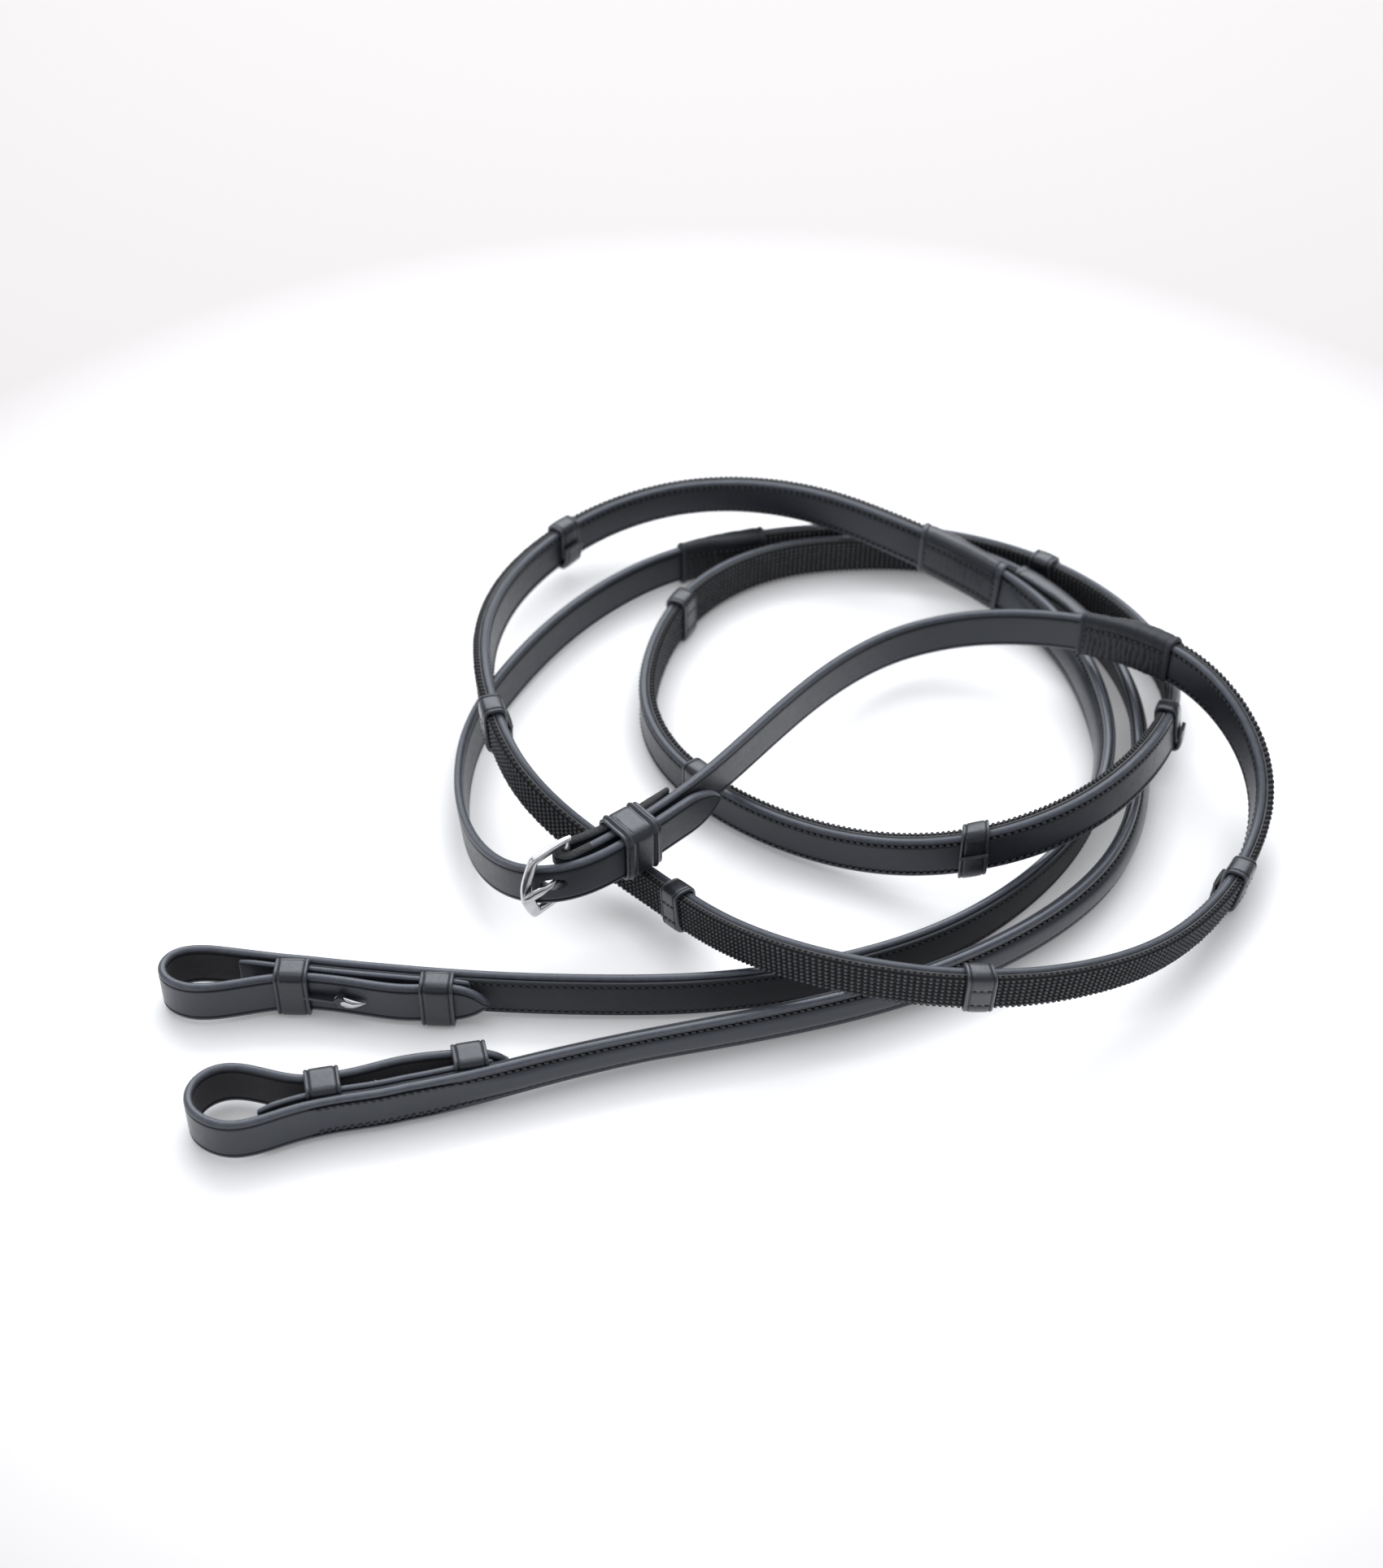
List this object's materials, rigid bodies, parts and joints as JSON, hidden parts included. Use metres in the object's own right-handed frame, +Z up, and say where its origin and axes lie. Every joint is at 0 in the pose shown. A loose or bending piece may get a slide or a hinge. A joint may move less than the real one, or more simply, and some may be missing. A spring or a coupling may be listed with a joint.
{
  "type": "riding reins",
  "caption": "Pair of rubber-faced leather riding reins with hand stops, centre buckle and hook-stud billets, lying in a double coil.",
  "frame": {"origin": "centre of the footprint, on the ground", "axes": "+Z up; +X to the right and +Y away from the side the two bit loops point out on, as the coil lies"},
  "size_m": [0.3762, 0.3245, 0.0442],
  "materials": {
    "strap_leather": "smooth bridle leather, soft sheen",
    "band_leather": "thin creased leather, soft sheen",
    "lining_leather": "matt lining leather",
    "cord_core": "felted cord",
    "pimpled_rubber": "matt, pimpled",
    "polished_steel": "polished stainless steel"
  },
  "bodies": {
    "reins": {"hand_strap_a": "strap_leather", "hand_wrap_a": "band_leather", "grip_leather_a": "strap_leather", "grip_rubber_a": "pimpled_rubber", "stop_a1": "band_leather", "stop_a2": "band_leather", "stop_a3": "band_leather", "stop_a4": "band_leather", "stop_a5": "band_leather", "bit_wrap_a": "band_leather", "bit_strap_a": "strap_leather", "bit_filler_a": "cord_core", "bit_lining_a": "lining_leather", "safe_a": "lining_leather", "keeper_a_inner": "band_leather", "keeper_a_outer": "band_leather", "hook_stud_a": "polished_steel", "hand_strap_b": "strap_leather", "hand_wrap_b": "band_leather", "grip_leather_b": "strap_leather", "grip_rubber_b": "pimpled_rubber", "stop_b1": "band_leather", "stop_b2": "band_leather", "stop_b3": "band_leather", "stop_b4": "band_leather", "stop_b5": "band_leather", "bit_wrap_b": "band_leather", "bit_strap_b": "strap_leather", "bit_filler_b": "cord_core", "bit_lining_b": "lining_leather", "safe_b": "lining_leather", "keeper_b_inner": "band_leather", "keeper_b_outer": "band_leather", "hook_stud_b": "polished_steel", "buckle_keeper": "band_leather"},
    "buckle": {"buckle_frame": "polished_steel"},
    "tongue": {"buckle_tongue": "polished_steel"},
    "flap_a_body": {"flap_a": "strap_leather"},
    "flap_b_body": {"flap_b": "strap_leather"}
  },
  "joints": [
    {"name": "buckle_hinge", "type": "hinge", "parent": "reins", "child": "buckle", "pos_m": [-0.05587, -0.06002, 0.02975], "axis": [0, 0, 1], "range_deg": [0, 10]},
    {"name": "tongue_hinge", "type": "hinge", "parent": "buckle", "child": "tongue", "pos_m": [-0.05587, -0.06002, 0.02975], "axis": [0, 0, 1], "range_deg": [0, 8]},
    {"name": "flap_a_slide", "type": "slide", "parent": "reins", "child": "flap_a_body", "axis": [0.99, -0.1408, 0], "range_m": [0, 0.004]},
    {"name": "flap_b_slide", "type": "slide", "parent": "reins", "child": "flap_b_body", "axis": [0.9699, 0.2436, 0], "range_m": [0, 0.004]}
  ]
}
